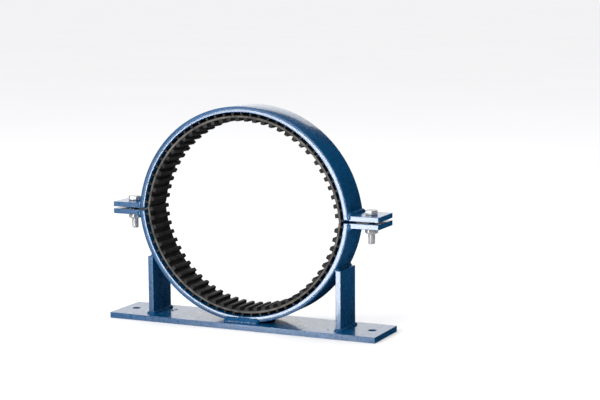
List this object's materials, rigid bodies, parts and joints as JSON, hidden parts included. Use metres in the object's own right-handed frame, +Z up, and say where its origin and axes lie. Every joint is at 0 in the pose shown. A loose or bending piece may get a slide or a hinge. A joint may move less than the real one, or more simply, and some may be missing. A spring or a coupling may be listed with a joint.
{
  "type": "saddle pipe clamp",
  "caption": "Blue-painted two-part saddle pipe clamp with ribbed rubber liner, bolted ears and a welded base on two legs, with anchor holes.",
  "frame": {"origin": "centre of the base plate's underside", "axes": "+Z up, X along the base plate, Y along the pipe axis"},
  "size_m": [0.41, 0.08, 0.308],
  "materials": {
    "blue_paint": "glossy blue enamel",
    "liner_rubber": "matt black rubber",
    "zinc_steel": "bright zinc plate"
  },
  "bodies": {
    "base": {"base_plate": "blue_paint", "left_leg": "blue_paint", "right_leg": "blue_paint", "lower_ring": "blue_paint", "lower_left_ear": "blue_paint", "lower_right_ear": "blue_paint", "lower_liner": "liner_rubber", "lower_left_ear_weld": "blue_paint", "lower_right_ear_weld": "blue_paint", "left_leg_top_weld": "blue_paint", "right_leg_top_weld": "blue_paint", "left_foot_weld": "blue_paint", "right_foot_weld": "blue_paint", "saddle_front_weld": "blue_paint", "saddle_rear_weld": "blue_paint"},
    "upper_half": {"upper_ring": "blue_paint", "upper_left_ear": "blue_paint", "upper_right_ear": "blue_paint", "upper_left_ear_weld": "blue_paint", "upper_right_ear_weld": "blue_paint", "upper_liner_short": "liner_rubber", "upper_liner_long": "liner_rubber"},
    "left_bolt": {"left_bolt": "zinc_steel"},
    "right_bolt": {"right_bolt": "zinc_steel"},
    "left_nut": {"left_nut": "zinc_steel"},
    "right_nut": {"right_nut": "zinc_steel"}
  },
  "joints": [
    {"name": "clamp_lift", "type": "slide", "parent": "base", "child": "upper_half", "axis": [0, 0, 1], "range_m": [0, 0.0145]},
    {"name": "left_bolt_spin", "type": "hinge", "parent": "upper_half", "child": "left_bolt", "pos_m": [-0.184, 0, 0.1697], "axis": [0, 0, 1], "continuous": true},
    {"name": "right_bolt_spin", "type": "hinge", "parent": "upper_half", "child": "right_bolt", "pos_m": [0.184, 0, 0.1697], "axis": [0, 0, 1], "continuous": true},
    {"name": "left_nut_spin", "type": "hinge", "parent": "base", "child": "left_nut", "pos_m": [-0.184, 0, 0.1453], "axis": [0, 0, 1], "continuous": true},
    {"name": "right_nut_spin", "type": "hinge", "parent": "base", "child": "right_nut", "pos_m": [0.184, 0, 0.1453], "axis": [0, 0, 1], "continuous": true}
  ],
  "couplings": [
    {"joint": "left_nut_spin", "follows": "clamp_lift", "rad_per_m": -4188.8},
    {"joint": "right_nut_spin", "follows": "clamp_lift", "rad_per_m": -4188.8}
  ]
}
